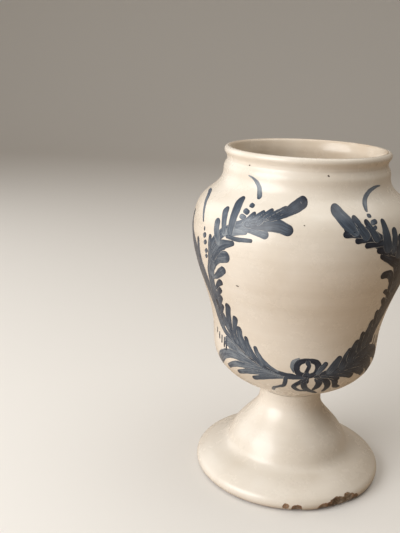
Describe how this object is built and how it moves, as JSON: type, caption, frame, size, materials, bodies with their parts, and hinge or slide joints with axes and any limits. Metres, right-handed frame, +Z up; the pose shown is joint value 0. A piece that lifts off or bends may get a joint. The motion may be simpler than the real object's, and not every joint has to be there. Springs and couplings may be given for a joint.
{
  "type": "apothecary jar",
  "caption": "Footed pharmacy jar: thrown vessel with rolled rim on a hollow pedestal foot, luted with slip and tin glazed.",
  "frame": {"origin": "centre of the foot's standing ring, on the table", "axes": "+Z up along the jar's axis of turning; -Y towards the front, where the ribbon bow of the front wreath sits 9 degrees towards +X"},
  "size_m": [0.1478, 0.1478, 0.23],
  "materials": {
    "clay": "fired earthenware, matt and slightly gritty",
    "slip": "fired luting slip, matt",
    "tin_glaze": "opaque warm white tin glaze, glossy, with cobalt blue painting on the outside",
    "lining": "opaque warm white tin glaze, glossy, a little browner than the outside"
  },
  "bodies": {
    "root": {"jar_body": "clay", "pedestal_foot": "clay", "slip_joint": "slip", "outside_glaze": "tin_glaze", "lining_glaze": "lining", "foot_glaze": "tin_glaze"}
  },
  "joints": []
}
